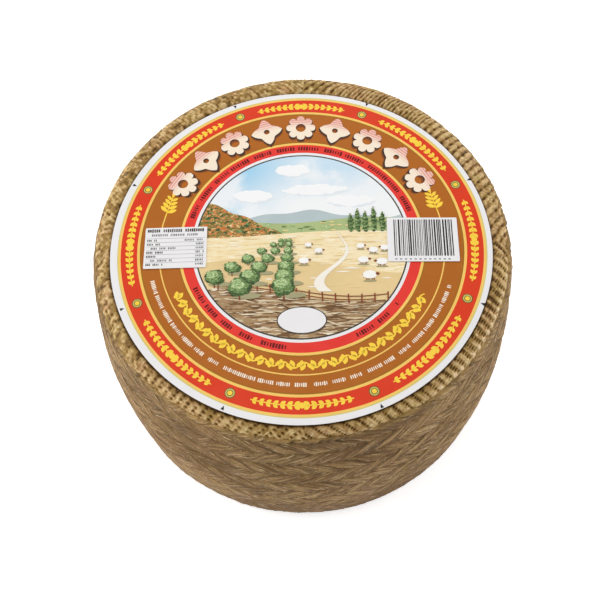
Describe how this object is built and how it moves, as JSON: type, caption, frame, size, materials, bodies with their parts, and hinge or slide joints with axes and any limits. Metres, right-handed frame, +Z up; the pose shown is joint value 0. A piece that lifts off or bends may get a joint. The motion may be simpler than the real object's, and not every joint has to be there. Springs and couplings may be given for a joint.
{
  "type": "aged mixed milk cheese",
  "caption": "Whole wheel of aged cheese with a mat-pressed rim, plaited belt marks round its side, a round printed paper label and small stickers on top.",
  "frame": {"origin": "middle of the flat base that the wheel rests on", "axes": "+Z up through the label, -Y towards the front, +X to the right as the label is read"},
  "size_m": [0.1964, 0.196, 0.1079],
  "materials": {
    "rind": "waxy, satin",
    "label_paper": "printed, satin",
    "sticker_paper": "matte"
  },
  "bodies": {
    "root": {"cheese_wheel": "rind", "round_label": "label_paper", "table_sticker": "sticker_paper", "code_sticker": "sticker_paper"}
  },
  "joints": []
}
